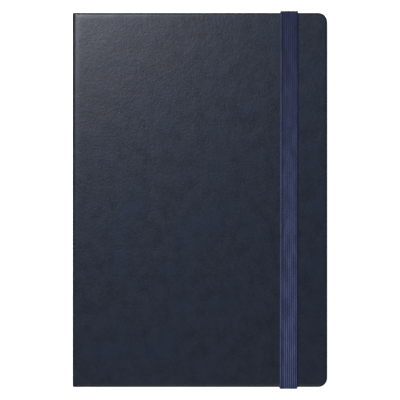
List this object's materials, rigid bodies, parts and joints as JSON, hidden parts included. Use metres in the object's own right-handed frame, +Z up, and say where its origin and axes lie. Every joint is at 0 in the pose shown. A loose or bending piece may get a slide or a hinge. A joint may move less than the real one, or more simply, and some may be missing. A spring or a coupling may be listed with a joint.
{
  "type": "pilot logbook",
  "caption": "Hardcover flight logbook in navy leatherette with sewn pages, rounded fore-edge corners and a woven elastic band closure.",
  "frame": {"origin": "under the middle of the closed book, level with the underside of the elastic's lengths behind the back cover", "axes": "+X from the spine to the fore-edge, +Y from the tail to the head, +Z up through the front cover"},
  "size_m": [0.143, 0.212, 0.0198],
  "materials": {
    "leatherette": "satin, soft mottled grain",
    "greyboard": "matt",
    "pages": "matt uncoated",
    "endpaper": "matt uncoated",
    "elastic": "ribbed weave",
    "gauze": "open weave",
    "thread": "matt",
    "headband": "woven"
  },
  "bodies": {
    "back_cover": {"back_board": "greyboard", "back_cover_skin": "leatherette", "back_endpaper": "endpaper", "section_07": "pages", "section_08": "pages", "section_09": "pages", "section_10": "pages", "section_11": "pages", "section_12": "pages", "elastic_end_head": "elastic", "elastic_end_tail": "elastic"},
    "spine": {"spine_stiffener": "greyboard", "spine_skin": "leatherette", "spine_mull": "gauze", "sewing_thread_1": "thread", "sewing_thread_2": "thread", "sewing_thread_3": "thread", "sewing_thread_4": "thread", "sewing_thread_5": "thread", "sewing_thread_6": "thread", "headband_head": "headband", "headband_tail": "headband"},
    "front_cover": {"front_board": "greyboard", "front_cover_skin": "leatherette", "front_endpaper": "endpaper", "section_01": "pages", "section_02": "pages", "section_03": "pages", "section_04": "pages", "section_05": "pages", "section_06": "pages"},
    "elastic": {"elastic_band": "elastic"}
  },
  "joints": [
    {"name": "spine_hinge", "type": "hinge", "parent": "back_cover", "child": "spine", "pos_m": [-0.0715, 0, 0.0009], "axis": [0, -1, 0], "range_deg": [0, 90]},
    {"name": "front_cover_hinge", "type": "hinge", "parent": "spine", "child": "front_cover", "pos_m": [-0.0715, 0, 0.01894], "axis": [0, -1, 0], "range_deg": [0, 90]},
    {"name": "elastic_release", "type": "slide", "parent": "back_cover", "child": "elastic", "axis": [0, 0, -1], "range_m": [0, 0.019], "deforming": ["elastic_band"]}
  ],
  "couplings": [
    {"joint": "spine_hinge", "follows": "front_cover_hinge", "ratio": 1},
    {"joint": "elastic_release", "follows": "front_cover_hinge", "m_per_rad": 0.012095}
  ]
}
